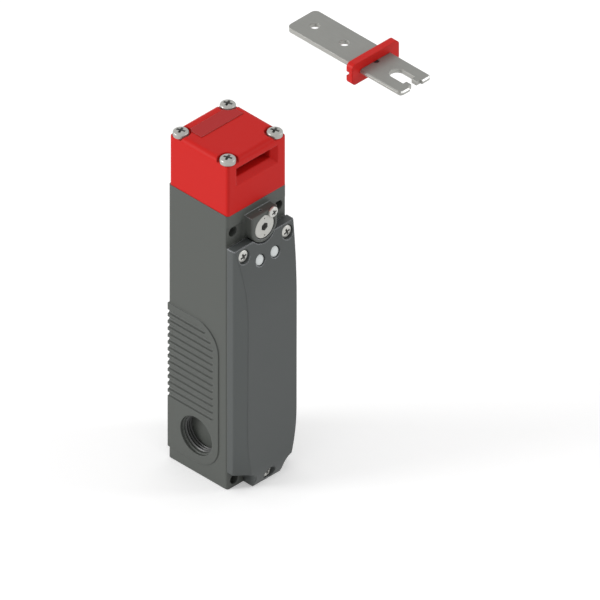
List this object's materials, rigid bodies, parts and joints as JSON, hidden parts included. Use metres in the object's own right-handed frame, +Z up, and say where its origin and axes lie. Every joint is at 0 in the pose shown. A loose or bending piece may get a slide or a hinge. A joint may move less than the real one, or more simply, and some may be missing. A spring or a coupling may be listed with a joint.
{
  "type": "tongue interlock switch",
  "caption": "Upright guard-locking safety switch: grey die-cast body, bowed cover and red head with a tongue slot, and a loose steel tongue with a red collar.",
  "frame": {"origin": "on the axis of the bottom conduit entry, in the plane of the housing's base", "axes": "+Z up towards the red head, -Y to the front with the cover and the tongue slot, +X to the right seen from the front"},
  "size_m": [0.138, 0.0819, 0.1936],
  "materials": {
    "grey_casting": "satin powder coat",
    "grey_cover": "satin powder coat",
    "red_casting": "satin powder coat",
    "red_plate": "satin",
    "red_plastic": "satin",
    "black_rubber": "matt",
    "zinc_steel": "zinc plated",
    "stainless": "brushed",
    "release_metal": "nickel plated",
    "zinc_casting": "as cast",
    "white_plastic": "satin",
    "clear_plastic": "clear",
    "black_plastic": "moulded",
    "board_green": "lacquered",
    "contact_brass": "bright",
    "coil_copper": "wound wire"
  },
  "bodies": {
    "switch": {"housing": "grey_casting", "front_cover": "grey_cover", "cover_gasket": "black_rubber", "cover_screws": "zinc_steel", "light_windows": "white_plastic", "lamp_board": "board_green", "signal_lamps": "clear_plastic", "head_shell": "red_casting", "head_plate": "red_plate", "head_gasket": "black_rubber", "head_screws": "zinc_steel", "cam_carrier": "white_plastic", "cam_axle": "stainless", "contact_block": "black_plastic", "fixed_contacts": "contact_brass", "rod_spring": "stainless", "terminal_block": "black_plastic", "terminal_screws": "zinc_steel", "earth_screw": "contact_brass", "solenoid_coil": "coil_copper", "solenoid_frame": "zinc_steel", "lock_spring": "stainless", "release_lock_screw": "zinc_steel"},
    "cam": {"actuating_cam": "zinc_casting"},
    "rod": {"push_rod": "white_plastic", "contact_plungers": "white_plastic", "contact_bridges": "contact_brass"},
    "lock": {"lock_slide": "zinc_steel", "solenoid_core": "zinc_steel"},
    "release": {"release_dial": "release_metal", "release_shaft": "stainless", "shaft_seal": "black_rubber"},
    "tongue_unit": {"tongue": "stainless", "tongue_collar": "red_plastic"}
  },
  "joints": [
    {"name": "cam_turn", "type": "hinge", "parent": "switch", "child": "cam", "pos_m": [0, 0.0005, 0.173], "axis": [-1, 0, 0], "range_deg": [0, 52]},
    {"name": "rod_travel", "type": "slide", "parent": "switch", "child": "rod", "axis": [0, 0, -1], "range_m": [0, 0.00241], "deforming": ["rod_spring"]},
    {"name": "release_turn", "type": "hinge", "parent": "switch", "child": "release", "pos_m": [0, -0.023, 0.1488], "axis": [0, -1, 0], "range_deg": [0, 180]},
    {"name": "lock_travel", "type": "slide", "parent": "switch", "child": "lock", "axis": [0, 0, 1], "range_m": [0, 0.003], "deforming": ["lock_spring"]},
    {"name": "tongue_swing", "type": "hinge", "parent": "switch", "child": "tongue_unit", "pos_m": [0.0507, -0.023, 0.1824], "axis": [0, 0, -1], "range_deg": [0, 180]}
  ],
  "couplings": [
    {"joint": "rod_travel", "follows": "cam_turn", "m_per_rad": 0.0026469},
    {"joint": "release_turn", "follows": "lock_travel", "rad_per_m": 1047.2}
  ]
}
